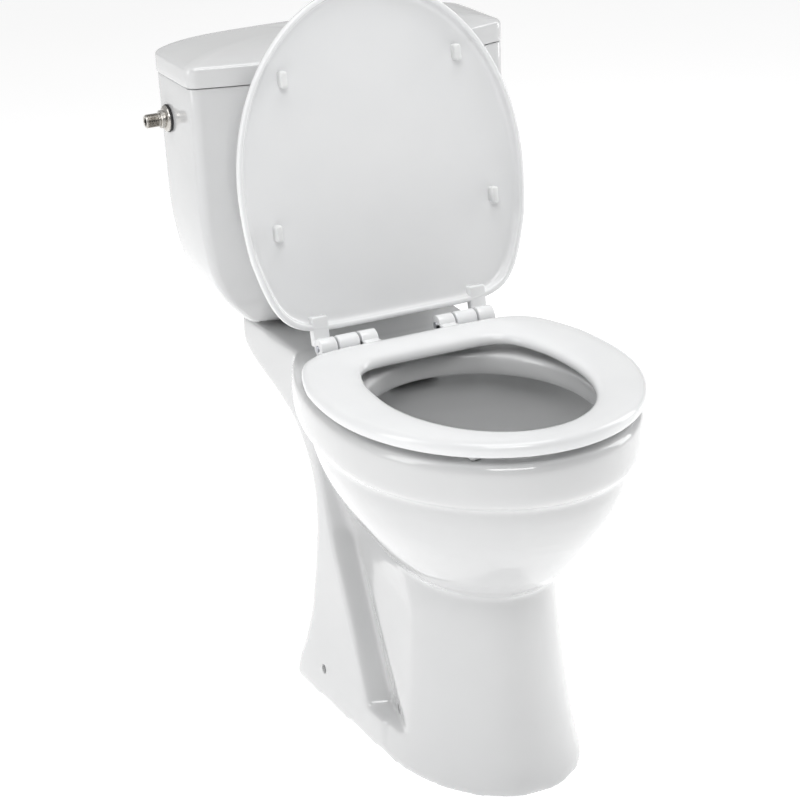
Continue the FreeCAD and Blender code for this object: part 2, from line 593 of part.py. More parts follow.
def make_lid():
    low, high = value("Size.cover_bottom"), value("Size.cover_bottom") + value("Size.cover_thick")
    plate = slab("lid_plate", seat_outline(low, -1), "Size.cover_thick")
    recess = slab("lid_recess", seat_outline(low - 5, 7), 5 + value("Size.cover_thick") - 6)
    plate = softened("lid_soft", plate, high, high, value("Size.soft_edge") + 2)
    arms = knuckle("lid_knuckle", 104, "Size.cover_bottom", "Size.cover_bottom + Size.cover_thick - 4")
    bore = cylinder("lid_pin_bore", "Size.pin_radius + 0.06", 300, -150, "-Size.hinge_line",
                    "Size.hinge_height", "x")
    opened(cut("lid_solid", fuse("lid_parts", [cut("lid_shell", plate, [recess])] + arms), [bore]), "seat_lid")
    pads = []
    for i, (x, y) in enumerate(((141, -158), (112, -335))):
        pad = box("lid_pad_%d" % i, 9, 20, "Size.cover_thick - 6 + 2.4", x, y - 10, "Size.cover_bottom - 2.4")
        pads += [pad, mirrored("lid_pad_%d_right" % i, pad)]
    group = doc.addObject("Part::Compound", "lid_pads")
    group.Links = pads
    opened(group, "lid_buffers")


def make_hinges():
    """One post each side on the pan, with a steel pin, a stud through the pan and a wing nut."""
    reach = 27
    for side, word in ((-1, "left"), (1, "right")):
        x = "%d * Size.seat_pitch_half" % side
        barrel = cylinder("post_barrel_" + word, "Size.barrel_radius", reach, "%s - %g" % (x, reach / 2),
                          "-Size.hinge_line", "Size.hinge_height", "x")
        block = box("post_block_" + word, reach, 30, "Size.hinge_height - Size.rim_top - 0.3", x,
                    "-Size.hinge_line", "Size.rim_top + 0.3")
        foot = cylinder("post_foot_" + word, 21, 6, x, 0, "Size.rim_top + 0.3")
        pin_hole = cylinder("post_bore_" + word, "Size.pin_radius + 0.01", 60, x + " - 30", "-Size.hinge_line",
                            "Size.hinge_height", "x")
        stud_hole = cylinder("post_socket_" + word, 4.05, 12, x, 0, "Size.rim_top")
        keep(cut("post_" + word, fuse("post_parts_" + word, [barrel, block, foot]), [pin_hole, stud_hole]),
             "hinge_post_" + word)
        keep(cylinder("pin_" + word, "Size.pin_radius", 78, "%s - 39" % x, "-Size.hinge_line",
                      "Size.hinge_height", "x"), "hinge_pin_" + word)
    pair("hinge_studs", cylinder("hinge_stud", 4, 76, "-Size.seat_pitch_half", 0, "Size.rim_top - 64"))
    pair("hinge_washers", turned("hinge_washer", [(4.2, 0), (12, 0), (12, 3), (4.2, 3)],
                                 "-Size.seat_pitch_half", 0, "Size.hollow_top - 3.2"))
    pair("hinge_wing_nuts", wing_nut("hinge_wing_nut", "-Size.seat_pitch_half", "0", "Size.hollow_top - 14.4"))


make_ring()
make_lid()
make_hinges()

# ---------------------------------------------------------------- finish

doc.recompute()
failed = [obj.Name for obj in doc.Objects if {"Invalid", "Error"} & set(obj.State)]
if failed:
    raise RuntimeError("failed objects: " + ", ".join(failed))
os.makedirs("parts", exist_ok=True)
for node, obj in NODES.items():
    if obj.Shape.isNull() or not obj.Shape.isValid():
        raise RuntimeError("bad shape: " + node)
    obj.Shape.exportStep("parts/%s.step" % node)
    size = obj.Shape.optimalBoundingBox(False)
    print("%-24s solids %d  volume %9.0f  x %7.1f %7.1f  y %7.1f %7.1f  z %6.1f %6.1f" % (
        node, len(obj.Shape.Solids), obj.Shape.Volume, size.XMin, size.XMax, size.YMin, size.YMax,
        size.ZMin, size.ZMax))
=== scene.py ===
# %% [markdown]
# # A close coupled toilet
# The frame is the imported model: solid pieces, joints and sizes, in metres, with the floor at zero.
# This lesson gives it its looks: soft glazed ceramic, a polished seat and bright metal fittings.
# Every new piece starts from a primitive and is shaped with the operators of edit mode.

# %% Load the frame
from math import pi, radians

import bpy
from mathutils import Matrix, Vector


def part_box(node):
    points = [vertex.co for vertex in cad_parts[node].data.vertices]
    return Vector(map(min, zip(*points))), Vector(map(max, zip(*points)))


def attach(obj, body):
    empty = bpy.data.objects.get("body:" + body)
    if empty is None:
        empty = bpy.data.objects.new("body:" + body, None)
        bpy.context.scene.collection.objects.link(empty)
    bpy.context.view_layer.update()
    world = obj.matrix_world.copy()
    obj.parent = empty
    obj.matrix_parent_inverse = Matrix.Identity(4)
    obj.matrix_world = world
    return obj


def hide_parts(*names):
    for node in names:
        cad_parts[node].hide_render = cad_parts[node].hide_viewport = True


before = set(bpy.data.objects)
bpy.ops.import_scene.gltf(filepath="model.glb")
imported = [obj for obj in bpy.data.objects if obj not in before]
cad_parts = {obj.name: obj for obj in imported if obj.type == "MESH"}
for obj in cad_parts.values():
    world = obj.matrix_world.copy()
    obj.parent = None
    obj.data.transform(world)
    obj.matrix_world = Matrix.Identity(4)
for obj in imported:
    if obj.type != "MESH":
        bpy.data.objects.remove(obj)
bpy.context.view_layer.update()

# %% [markdown]
# The camera comes first, because every later choice is judged through it. It stands to the left of
# the toilet, a little above it and well back, so a long lens suits it. Three turns place it: round
# the object, up, and a slight tilt of the picture.

# %% Camera
AIM = Vector((0.0226, 0.0649, 0.3577))
ROUND, UP, TILT = radians(-23.58), radians(20.89), radians(-3.24)
DISTANCE, LENS = 3.2, 115.6

turn = Matrix.Rotation(ROUND, 3, "Z") @ Matrix.Rotation(pi / 2 - UP, 3, "X") @ Matrix.Rotation(TILT, 3, "Z")
bpy.ops.object.camera_add(location=AIM + turn @ Vector((0, 0, DISTANCE)), rotation=turn.to_euler())
camera = bpy.context.object
camera.data.lens = LENS
bpy.context.scene.camera = camera
print("camera at", [round(v, 3) for v in camera.location])

# %% [markdown]
# Small helpers do what a hand does with the mouse: make one piece the tool's target, open it in edit
# mode, select by place, close it again, apply a modifier, and cut one solid with another. Operators act
# on all that is selected, so each primitive is added with nothing selected. Places that differ by less
# than a hundredth of a millimetre count as one.

# %% Helpers for selecting and for modifiers
NEAR = 1e-5


def only(piece):
    """Makes one piece the only selected and active object."""
    bpy.ops.object.select_all(action="DESELECT")
    piece.select_set(True)
    bpy.context.view_layer.objects.active = piece
    return piece


def added(name):
    """Names the primitive that was just added and fixes its place in its mesh."""
    piece = only(bpy.context.object)
    bpy.ops.object.transform_apply(location=True, rotation=True, scale=True)
    piece.name = name
    return piece


def open_up():
    """Opens the active piece in edit mode with all of it selected."""
    bpy.ops.object.mode_set(mode="EDIT")
    bpy.ops.mesh.select_all(action="SELECT")


def close(piece):
    """Turns all faces outwards and leaves edit mode."""
    bpy.ops.mesh.select_all(action="SELECT")
    bpy.ops.mesh.normals_make_consistent(inside=False)
    bpy.ops.object.mode_set(mode="OBJECT")
    return piece


def pick(piece, test):
    """Selects, in edit mode, the vertices whose place passes a test."""
    bpy.ops.mesh.select_mode(type="VERT")
    bpy.ops.mesh.select_all(action="DESELECT")
    bpy.ops.object.mode_set(mode="OBJECT")
    for vertex in piece.data.vertices:
        vertex.select = test(vertex.co)
    bpy.ops.object.mode_set(mode="EDIT")


def modify(piece, kind, **settings):
    """Adds one modifier, sets it and applies it."""
    only(piece)
    bpy.ops.object.modifier_add(type=kind)
    modifier = piece.modifiers[-1]
    for setting, choice in settings.items():
        setattr(modifier, setting, choice)
    bpy.ops.object.modifier_apply(modifier=modifier.name)
    return piece


def carve(piece, tool, operation="DIFFERENCE"):
    """Cuts one closed solid out of another, or joins them, and throws the tool away."""
    modify(piece, "BOOLEAN", operation=operation, object=tool, solver="EXACT")
    bpy.data.objects.remove(tool)
    return piece


print("helpers ready")

# %% [markdown]
# Most of the ceramic is a stack of outlines, as a potter's ribs would give it. One outline is an egg:
# a circle whose front half is stretched more than its back half. Extruding its face upwards and
# resizing it about a fixed point makes the next level, and so on to the top.

# %% Helper for eggs and stacks
def egg(name, height, middle, half, nose, tail, cut_back=None, points=112):
    """A flat egg-shaped face, with its back cut straight across where that is asked for."""
    bpy.ops.object.select_all(action="DESELECT")
    bpy.ops.mesh.primitive_circle_add(vertices=points, radius=1, fill_type="NGON",
                                      location=(0, middle, height))
    bpy.context.object.scale = (half, nose, 1)
    piece = added(name)
    bpy.ops.object.mode_set(mode="EDIT")
    pick(piece, lambda p: p.y > middle + NEAR)
    bpy.ops.transform.resize(value=(1, tail / nose, 1), center_override=(0, middle, height))
    if cut_back is not None:
        bpy.ops.mesh.select_all(action="SELECT")
        bpy.ops.mesh.bisect(plane_co=(0, cut_back, height), plane_no=(0, 1, 0),
                            clear_outer=True, use_fill=False)
    bpy.ops.mesh.select_all(action="SELECT")
    return piece


def level(up, share_x, share_y, about):
    """Extrudes the selected face to the next level and resizes it about a fixed point."""
    bpy.ops.mesh.extrude_region_move(TRANSFORM_OT_translate={"value": (0, 0, up)})
    bpy.ops.transform.resize(value=(share_x, share_y, 1), center_override=about)


def stack(piece, start, rows, middle):
    """Levels from (height, share of the first outline) rows, about the outline's middle."""
    height, share = start
    for next_height, next_share in rows:
        level(next_height - height, next_share / share, next_share / share, (0, middle, next_height))
        height, share = next_height, next_share
    return close(piece)


pan_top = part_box("pan")[1]
RIM = pan_top.z
MIDDLE, HALF, NOSE = -0.195, 0.1798, 0.2365
print("rim height", round(RIM, 3), "bowl half-width", HALF)

# %% [markdown]
# The pan is one casting of vitreous china. Its masses are modelled apart, as closed solids, and are
# joined afterwards: the bowl with its rim band, the front column, and the rear block with the shelf.
# The rim band ends in a soft groove, where the bowl sets back by a few millimetres.

# %% The bowl and its rim band
bowl = egg("bowl", RIM, MIDDLE, HALF * 0.975, NOSE * 0.975, 0.322, cut_back=0.045)
stack(bowl, (RIM, 0.975), [
    (RIM - 0.003, 0.99), (RIM - 0.009, 0.998), (0.436, 1.0), (0.420, 0.999), (0.410, 0.992),
    (0.4035, 0.974), (0.3985, 0.930), (0.394, 0.916), (0.387, 0.915), (0.376, 0.910), (0.360, 0.888),
    (0.345, 0.858), (0.330, 0.818), (0.315, 0.770), (0.296, 0.705), (0.277, 0.634), (0.262, 0.562),
    (0.248, 0.475), (0.237, 0.395), (0.226, 0.30)], MIDDLE)
print("bowl", len(bowl.data.vertices), "vertices")

# %% [markdown]
# The column widens towards the foot in a slow curve. Only the share of its first outline changes, so
# its front leans as its sides do.

# %% The front column
COLUMN_MIDDLE, COLUMN_HALF, COLUMN_NOSE = -0.150, 0.1175, 0.1775
column = egg("column", 0.0, COLUMN_MIDDLE, COLUMN_HALF, COLUMN_NOSE, 0.12)
stack(column, (0.0, 1.0), [
    (0.006, 0.998), (0.022, 0.972), (0.045, 0.942), (0.071, 0.916), (0.11, 0.884), (0.161, 0.855),
    (0.2, 0.835), (0.232, 0.82), (0.262, 0.815)], COLUMN_MIDDLE)

# %% [markdown]
# The rear block is narrow at the waist, spreads to the floor, and sweeps back under the shelf. It is
# a plane with rounded corners, extruded level by level; at each level only the back edge is moved.
# The rows give height, back edge and half-width.

# %% The rear block and shelf
SHELF_BACK = pan_top.y
BLOCK_ROWS = [
    (0.0, 0.118, 0.127), (0.03, 0.106, 0.126), (0.06, 0.087, 0.124), (0.11, 0.066, 0.121),
    (0.17, 0.0505, 0.119), (0.232, 0.039, 0.1175), (0.275, 0.036, 0.1175), (0.305, 0.041, 0.118),
    (0.33, 0.052, 0.119), (0.35, 0.066, 0.120), (0.368, 0.088, 0.1215), (0.383, 0.122, 0.1225),
    (0.394, 0.160, 0.1235),
    (0.405, 0.197, 0.124), (0.416, SHELF_BACK - 0.008, 0.124), (0.424, SHELF_BACK - 0.002, 0.124),
    (0.434, SHELF_BACK, 0.124), (RIM - 0.0004, SHELF_BACK - 0.001, 0.1235)]
BLOCK_FRONT = -0.148


def rear_block(name, rows, corner=0.022):
    """A rounded block whose back edge and half-width change from level to level."""
    height, back, half = rows[0]
    bpy.ops.object.select_all(action="DESELECT")
    bpy.ops.mesh.primitive_plane_add(size=1, location=(0, (back + BLOCK_FRONT) / 2, height))
    bpy.context.object.scale = (half * 2, back - BLOCK_FRONT, 1)
    piece = added(name)
    bpy.ops.object.mode_set(mode="EDIT")
    pick(piece, lambda p: p.y > 0)
    bpy.ops.mesh.bevel(offset=corner, segments=6, affect="VERTICES")
    pick(piece, lambda p: p.y < 0)
    bpy.ops.transform.resize(value=(0.93, 1, 1), center_override=(0, 0, height))
    bpy.ops.mesh.select_all(action="SELECT")
    for next_height, next_back, next_half in rows[1:]:
        level(next_height - height, next_half / half, 1, (0, 0, next_height))
        pick(piece, lambda p: p.z > next_height - NEAR and p.y > BLOCK_FRONT + 0.01)
        bpy.ops.transform.translate(value=(0, next_back - back, 0))
        pick(piece, lambda p: p.z > next_height - NEAR)
        height, back, half = next_height, next_back, next_half
    return close(piece)


block = rear_block("rear_block", BLOCK_ROWS)
print("column and block ready")

# %% [markdown]
# Each flank has a slanting valley between the column and the block: a steep rear wall, and a long
# panel that rises forward to the column's edge. It is cut with a five-sided tool, whose corners are
# set level by level.

# %% The valleys in the flanks
BEYOND = 0.16


def valley(name, side, grow=0.0):
    """A tool of three levels; grow makes it larger, for the hollow behind the same wall."""
    rows = [
        (0.044 - grow, -0.104, 0.086, -0.117, 0.107, -0.204),
        (0.240, -0.014, 0.088, -0.030, 0.0945, -0.238),
        (0.345 + grow, 0.022, 0.112, 0.004, 0.114, -0.190)]
    piece, last = None, 0.0
    for height, wall, deep_x, deep_y, edge_x, edge_y in rows:
        corners = [(BEYOND, wall + grow), (deep_x + 0.034, wall + grow), (deep_x - grow, deep_y + grow),
                   (edge_x - grow, edge_y), (BEYOND, edge_y - 0.02)]
        if piece is None:
            bpy.ops.object.select_all(action="DESELECT")
            bpy.ops.mesh.primitive_circle_add(vertices=5, radius=0.05, fill_type="NGON",
                                              location=(0, 0, height))
            piece = added(name)
            open_up()
        else:
            bpy.ops.mesh.extrude_region_move(TRANSFORM_OT_translate={"value": (0, 0, height - last)})
        bpy.ops.object.mode_set(mode="OBJECT")
        newest = [v for v in piece.data.vertices if v.co.z > height - NEAR]
        places = [(v.index, Vector((side * x, y, height)) - v.co) for v, (x, y) in zip(newest, corners)]
        bpy.ops.object.mode_set(mode="EDIT")
        for index, way in places:
            bpy.ops.mesh.select_all(action="DESELECT")
            bpy.ops.object.mode_set(mode="OBJECT")
            piece.data.vertices[index].select = True
            bpy.ops.object.mode_set(mode="EDIT")
            bpy.ops.transform.translate(value=way)
        pick(piece, lambda p: p.z > height - NEAR)
        last = height
    return close(piece)


skirt = carve(column, block, "UNION")
skirt.name = "pan_skirt"
for side in (-1, 1):
    carve(skirt, valley("valley", side))
print("skirt", len(skirt.data.vertices), "vertices")

# %% [markdown]
# Seen from behind or below, the skirt is a shell about 12 mm thick, open to the floor and to the wall,
# as the plumber needs it. Two tools hollow it: a thinner column, and a box under the shelf. Each is
# first cut back behind the valleys, so that the shell keeps its thickness there.

# %% Hollow the skirt
WALL = 0.012
hollow_front = egg("hollow_front", -0.002, COLUMN_MIDDLE, COLUMN_HALF - WALL, COLUMN_NOSE - WALL, 0.11)
stack(hollow_front, (0.0, 1.0), [(0.045, 0.935), (0.11, 0.87), (0.161, 0.835), (0.246, 0.79)],
      COLUMN_MIDDLE)

bpy.ops.object.select_all(action="DESELECT")
bpy.ops.mesh.primitive_cube_add(size=1, location=(0, 0.038, 0.215))
bpy.context.object.scale = (0.210, 0.352, 0.434)
hollow_rear = added("hollow_rear")
open_up()
bpy.ops.mesh.bevel(offset=0.008, segments=2)
bpy.ops.object.mode_set(mode="OBJECT")

for hollow in (hollow_front, hollow_rear):
    for side in (-1, 1):
        carve(hollow, valley("valley_behind", side, WALL))
    carve(skirt, hollow)
print("skirt hollowed", len(skirt.data.vertices), "vertices")

# %% [markdown]
# Inside, the water trap is a bent ceramic tube that leads from the sump, under and over the weir, to
# the outlet spigot. A curve with a round bevel draws it, and the curve is then turned into a mesh.

# %% The trap and the spigot
OUTLET, DUCT = 0.190, 0.400
TRAP = [(-0.165, 0.232), (-0.165, 0.150), (-0.140, 0.113), (-0.095, 0.113), (-0.060, 0.140),
        (-0.028, 0.195), (-0.002, 0.212), (0.030, 0.203), (0.060, OUTLET), (0.12, OUTLET)]


def trap_tube(name, radius, top):
    """A round tube along the trap's way in the plane of symmetry."""
    bpy.ops.object.select_all(action="DESELECT")
    bpy.ops.curve.primitive_bezier_curve_add(location=(0, 0, 0))
    tube = bpy.context.object
    spline = tube.data.splines[0]
    spline.bezier_points.add(len(TRAP) - 2)
    for point, (y, z) in zip(spline.bezier_points, [(TRAP[0][0], top)] + TRAP[1:]):
        point.co = (0, y, z)
        point.handle_left_type = point.handle_right_type = "AUTO"
    tube.data.bevel_depth = radius
    tube.data.bevel_resolution = 10
    tube.data.use_fill_caps = True
    only(tube)
    bpy.ops.object.convert(target="MESH")
    tube = added(name)
    open_up()
    bpy.ops.mesh.remove_doubles(threshold=NEAR)
    return close(tube)


def rod(name, radius, start, end, points=64):
    """A closed cylinder between two points, as a tool or a lug."""
    way = Vector(end) - Vector(start)
    bpy.ops.object.select_all(action="DESELECT")
    bpy.ops.mesh.primitive_cylinder_add(vertices=points, radius=radius, depth=way.length,
                                        location=(Vector(start) + Vector(end)) / 2,
                                        rotation=way.to_track_quat("Z", "Y").to_euler())
    return added(name)


FLUSH_Y, COUPLING_X, SEAT_BOLT_X = 0.174, 0.074, 0.0775
print("trap drawn through", len(TRAP), "points")

# %% [markdown]
# Solids that overlap in many places are joined in one mesh and remeshed: every closed shape counts as
# full, and only the outer skin is left. That is the union of the casting's outside.

# %% Join the outside
VOXEL = 0.0029


def merged(name, parts, voxel=VOXEL):
    """One skin round several overlapping closed solids."""
    only(parts[0])
    for part in parts[1:]:
        part.select_set(True)
    bpy.ops.object.join()
    parts[0].name = name
    return modify(parts[0], "REMESH", mode="VOXEL", voxel_size=voxel, adaptivity=0)


pan = merged("pan_china", [
    skirt, bowl, trap_tube("trap_outside", 0.038, 0.234),
    rod("spigot_outside", 0.0508, (0, 0.052, OUTLET), (0, 0.1898, OUTLET)),
    rod("duct_outside", 0.035, (0, -0.04, DUCT), (0, FLUSH_Y, DUCT)),
    rod("inlet_boss", 0.050, (0, FLUSH_Y, 0.386), (0, FLUSH_Y, 0.437))])
print("pan outside", len(pan.data.vertices), "vertices")

# %% [markdown]
# The inside of the bowl is another stack, 12 mm smaller. Above it, the rim closes in to the opening
# that the seat frames, so the slot that lets the flush in hides under an overhang. The bores of the
# trap, the spigot and the flush duct are joined to it, and all of them are cut away at once.

# %% Hollow the bowl
UNDER_RIM, MOUTH_MIDDLE, SLOT = 0.028, -0.215, 0.4145
bowl_inside = egg("bowl_inside", RIM - UNDER_RIM, MIDDLE, HALF * 0.90, NOSE * 0.915, 0.165)
stack(bowl_inside, (RIM - UNDER_RIM, 1.0), [
    (0.400, 0.99), (0.376, 0.955), (0.345, 0.885), (0.315, 0.79), (0.277, 0.645), (0.248, 0.49),
    (0.232, 0.375), (0.222, 0.25), (0.214, 0.15)], MIDDLE)
mouth = egg("mouth", RIM - 0.036, MOUTH_MIDDLE, 0.128, 0.170, 0.153)
stack(mouth, (RIM - 0.036, 1.0), [(RIM - 0.014, 0.985), (RIM + 0.01, 1.0)], MOUTH_MIDDLE)
wash_slot = rod("wash_slot", 0.034, (0, -0.06, SLOT), (0, 0.02, SLOT))
open_up()
bpy.ops.transform.resize(value=(1, 1, 0.16), center_override=(0, 0, SLOT))
bpy.ops.object.mode_set(mode="OBJECT")
hollow = merged("pan_bores", [
    bowl_inside, mouth, trap_tube("trap_inside", 0.027, 0.245),
    rod("spigot_inside", 0.042, (0, 0.068, OUTLET), (0, 0.20, OUTLET)),
    rod("duct_inside", 0.022, (0, -0.004, DUCT), (0, FLUSH_Y, DUCT)), wash_slot,
    rod("duct_drop", 0.026, (0, FLUSH_Y, DUCT), (0, FLUSH_Y, 0.470)),
    rod("inlet_mouth", 0.036, (0, FLUSH_Y, RIM - 0.016), (0, FLUSH_Y, RIM + 0.02))])
carve(pan, hollow)
print("pan hollowed", len(pan.data.vertices), "vertices")

# %% [markdown]
# Glaze runs into every inner corner and thins over every edge, so nothing on the casting is sharp.
# Remeshing the solid into small even quads and relaxing them gives just that: soft fillets all over,
# about as wide as the real ones. Thinning the mesh afterwards keeps it light where it is nearly flat,
# and the screw holes come last, so that they stay crisp. A finished piece is shaded smooth up to an
# angle, tied to the body it moves with, and noted down for its material.

# %% Soften the casting
OWN = []


def finished(piece, body, slot, *nodes, angle=40):
    """Shades a piece, ties it to its body and lets it stand for its nodes."""
    only(piece)
    bpy.ops.object.shade_smooth_by_angle(angle=radians(angle))
    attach(piece, body)
    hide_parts(*nodes)
    OWN.append((piece, slot))
    low, high = [[round(f(v.co[i] for v in piece.data.vertices), 4) for i in range(3)] for f in (min, max)]
    print(piece.name, len(piece.data.polygons), "faces", low, high)


PAN_FACES = 88000
modify(pan, "REMESH", mode="VOXEL", voxel_size=VOXEL, adaptivity=0)
modify(pan, "SMOOTH", factor=0.5, iterations=20)
modify(pan, "DECIMATE", ratio=min(1.0, PAN_FACES / len(pan.data.polygons)))
for side in (-1, 1):
    carve(pan, rod("fixing_rear", 0.006, (side * 0.09, 0.016, 0.043), (side * 0.15, 0.016, 0.043), 32))
    carve(pan, rod("fixing_front", 0.006, (side * 0.07, -0.150, 0.056), (side * 0.13, -0.150, 0.056), 32))
    carve(pan, rod("seat_hole", 0.008, (side * SEAT_BOLT_X, 0, RIM - 0.05),
                   (side * SEAT_BOLT_X, 0, RIM + 0.01), 32))
    carve(pan, rod("coupling_hole", 0.0055, (side * COUPLING_X, FLUSH_Y, RIM - 0.05),
                   (side * COUPLING_X, FLUSH_Y, RIM + 0.01), 32))
finished(pan, "base", "sanitaryware", "pan", angle=50)

# %% [markdown]
# The cistern is a tall box of the same china. Seen from above it has a flat back, a front that bows
# out, and round corners. A plane gets those corners by bevelling its vertices; its front edge is
# subdivided and pushed out along a parabola. The same plan serves the tank and its cover.

# %% Helper for the cistern's plan
BOW, CORNER, CUTS = 0.030, 0.014, 19


def tank_plan(name, height, half, front, back):
    """A flat face with a bowed front edge and rounded corners."""
    shoulder = front + BOW
    bpy.ops.object.select_all(action="DESELECT")
    bpy.ops.mesh.primitive_plane_add(size=1, location=(0, (shoulder + back) / 2, height))
    bpy.context.object.scale = (2 * half, back - shoulder, 1)
    piece = added(name)
    bpy.ops.object.mode_set(mode="EDIT")
    for corners in (lambda p: p.y < shoulder + 0.001, lambda p: p.y > back - 0.001):
        pick(piece, corners)
        bpy.ops.mesh.bevel(offset=CORNER, segments=6, affect="VERTICES")
    pick(piece, lambda p: p.y < shoulder + NEAR)
    bpy.ops.mesh.subdivide(number_cuts=CUTS)
    steps = (CUTS + 1) // 2
    for step in range(steps):
        across = (half - CORNER) * step / steps
        pick(piece, lambda p: abs(abs(p.x) - across) < 10 * NEAR and p.y < shoulder + 10 * NEAR)
        bpy.ops.transform.translate(value=(0, -BOW * (1 - (step / steps) ** 2), 0))
    bpy.ops.mesh.select_all(action="SELECT")
    return piece


def climb(rows, about):
    """Levels from (height, share of x, share of y) rows, resized about a fixed plan point."""
    height, share_x, share_y = rows[0]
    for next_height, next_x, next_y in rows[1:]:
        level(next_height - height, next_x / share_x, next_y / share_y, (about[0], about[1], next_height))
        height, share_x, share_y = next_height, next_x, next_y


def step_across(height, share_x, old_depth, depth, old_back, back):
    """A flat step to another outline at one height, which gets a new depth and a new back edge."""
    share_y = depth / old_depth
    fixed = (back - share_y * old_back) / (1 - share_y)
    level(0, share_x, share_y, (0, fixed, height))


print("cistern helpers ready")

# %% [markdown]
# The tank's lower end is pulled in like the bottom of a bag, more at the sides than at the front, and
# from there the walls rise almost straight. The rows give height, half-width and front. At the top the
# face steps in by the wall, and the same outline goes back down to the inside floor.

# %% The cistern tank
TANK_HALF, TANK_FRONT, TANK_BACK = 0.205, 0.071, 0.228
TANK_ROWS = [
    (0.4622, 0.1265, 0.1395), (0.4632, 0.1297, 0.1363), (0.466, 0.1345, 0.1315), (0.470, 0.139, 0.1275),
    (0.476, 0.145, 0.123), (0.485, 0.1537, 0.1163), (0.497, 0.1642, 0.1078), (0.510, 0.174, 0.101),
    (0.527, 0.1833, 0.0935), (0.545, 0.1903, 0.0868), (0.560, 0.1944, 0.083), (0.580, 0.1983, 0.079),
    (0.600, 0.2011, 0.076), (0.620, 0.2029, 0.074), (0.660, 0.2037, 0.0730), (0.720, 0.2043, 0.0719),
    (0.777, 0.205, 0.071), (0.7786, 0.2046, 0.0714), (0.779, 0.2036, 0.0724)]
TANK_INSIDE = [
    (0.779, 0.1955, 0.0805), (0.7775, 0.195, 0.081), (0.620, 0.193, 0.084), (0.560, 0.185, 0.092),
    (0.527, 0.173, 0.103), (0.510, 0.163, 0.111), (0.490, 0.147, 0.122), (0.478, 0.135, 0.131),
    (0.472, 0.122, 0.136)]
WALL_IN = 0.010
DEPTH = TANK_BACK - TANK_FRONT
INNER_BACK = TANK_BACK - WALL_IN

tank = tank_plan("cistern_china", TANK_ROWS[0][0], TANK_HALF, TANK_FRONT, TANK_BACK)
bpy.ops.transform.resize(value=(TANK_ROWS[0][1] / TANK_HALF, (TANK_BACK - TANK_ROWS[0][2]) / DEPTH, 1),
                         center_override=(0, TANK_BACK, TANK_ROWS[0][0]))
climb([(z, half / TANK_HALF, (TANK_BACK - front) / DEPTH) for z, half, front in TANK_ROWS], (0, TANK_BACK))
step_across(TANK_ROWS[-1][0], TANK_INSIDE[0][1] / TANK_ROWS[-1][1], TANK_BACK - TANK_ROWS[-1][2],
            DEPTH - 2 * WALL_IN, TANK_BACK, INNER_BACK)
start = (TANK_INSIDE[0][0], TANK_INSIDE[0][1], TANK_FRONT + WALL_IN)
climb([(z, half, INNER_BACK - front) for z, half, front in [start] + TANK_INSIDE[1:]], (0, INNER_BACK))
close(tank)
INLET = Vector((-TANK_HALF, 0.190, 0.728))
carve(tank, rod("inlet_hole", 0.009, INLET - Vector((0.02, 0, 0)), INLET + Vector((0.03, 0, 0)), 48))
carve(tank, rod("flush_hole", 0.0275, (0, FLUSH_Y, 0.45), (0, FLUSH_Y, 0.49)))
for x in (-COUPLING_X, COUPLING_X):
    carve(tank, rod("bolt_hole", 0.0055, (x, FLUSH_Y, 0.45), (x, FLUSH_Y, 0.49), 32))
finished(tank, "base", "sanitaryware", "cistern_tank", angle=35)

# %% [markdown]
# The cover overhangs the tank by a few millimetres and throws the thin dark line under it. It starts
# at its inside ceiling, comes down, steps out to the skirt, and climbs over a soft shoulder to a
# shallow crown; the back stays flat against the wall.

# %% The cistern cover
COVER_HALF, COVER_FRONT, COVER_WALL, CEILING = 0.207, 0.068, 0.009, 0.802
COVER_ROWS = [
    (0.7803, 0.2062, 0.0688), (0.7815, 0.2069, 0.0681), (0.790, 0.207, 0.068), (0.8005, 0.2070, 0.0680),
    (0.8026, 0.2066, 0.0684), (0.8042, 0.2055, 0.0695), (0.8055, 0.2036, 0.0714), (0.8066, 0.2008, 0.0742),
    (0.8078, 0.1965, 0.0785), (0.8095, 0.189, 0.086), (0.8112, 0.178, 0.097), (0.8127, 0.163, 0.110),
    (0.8139, 0.142, 0.126), (0.8146, 0.112, 0.145), (0.8149, 0.070, 0.165)]
COVER_DEPTH = TANK_BACK - COVER_FRONT
COVER_EDGE, EDGE_HALF = COVER_ROWS[0][:2]
cover = tank_plan("cistern_cover", CEILING, COVER_HALF - COVER_WALL, COVER_FRONT + COVER_WALL,
                  TANK_BACK - COVER_WALL)
level(COVER_EDGE - CEILING, 1, 1, (0, 0, 0))
step_across(COVER_EDGE, EDGE_HALF / (COVER_HALF - COVER_WALL), COVER_DEPTH - 2 * COVER_WALL, COVER_DEPTH,
            TANK_BACK - COVER_WALL, TANK_BACK)
start = (COVER_EDGE, EDGE_HALF, COVER_FRONT)
climb([(z, half, TANK_BACK - front) for z, half, front in [start] + COVER_ROWS[1:]], (0, TANK_BACK))
close(cover)
carve(cover, rod("button_hole", 0.030, (0, FLUSH_Y, 0.79), (0, FLUSH_Y, 0.83)))
modify(cover, "BEVEL", width=0.0012, segments=3, limit_method="ANGLE", angle_limit=radians(50))
finished(cover, "base", "sanitaryware", "cistern_lid", angle=35)

# %% [markdown]
# The seat and its lid share one outline: a blunt egg with a straight back and round rear corners.
# An egg is cut straight across, the cut is subdivided, and smoothing its rear vertices draws the
# corners round, much as a file would.

# %% Helper for the seat's outline
SEAT_MIDDLE, SEAT_BACK = -0.202, -0.034


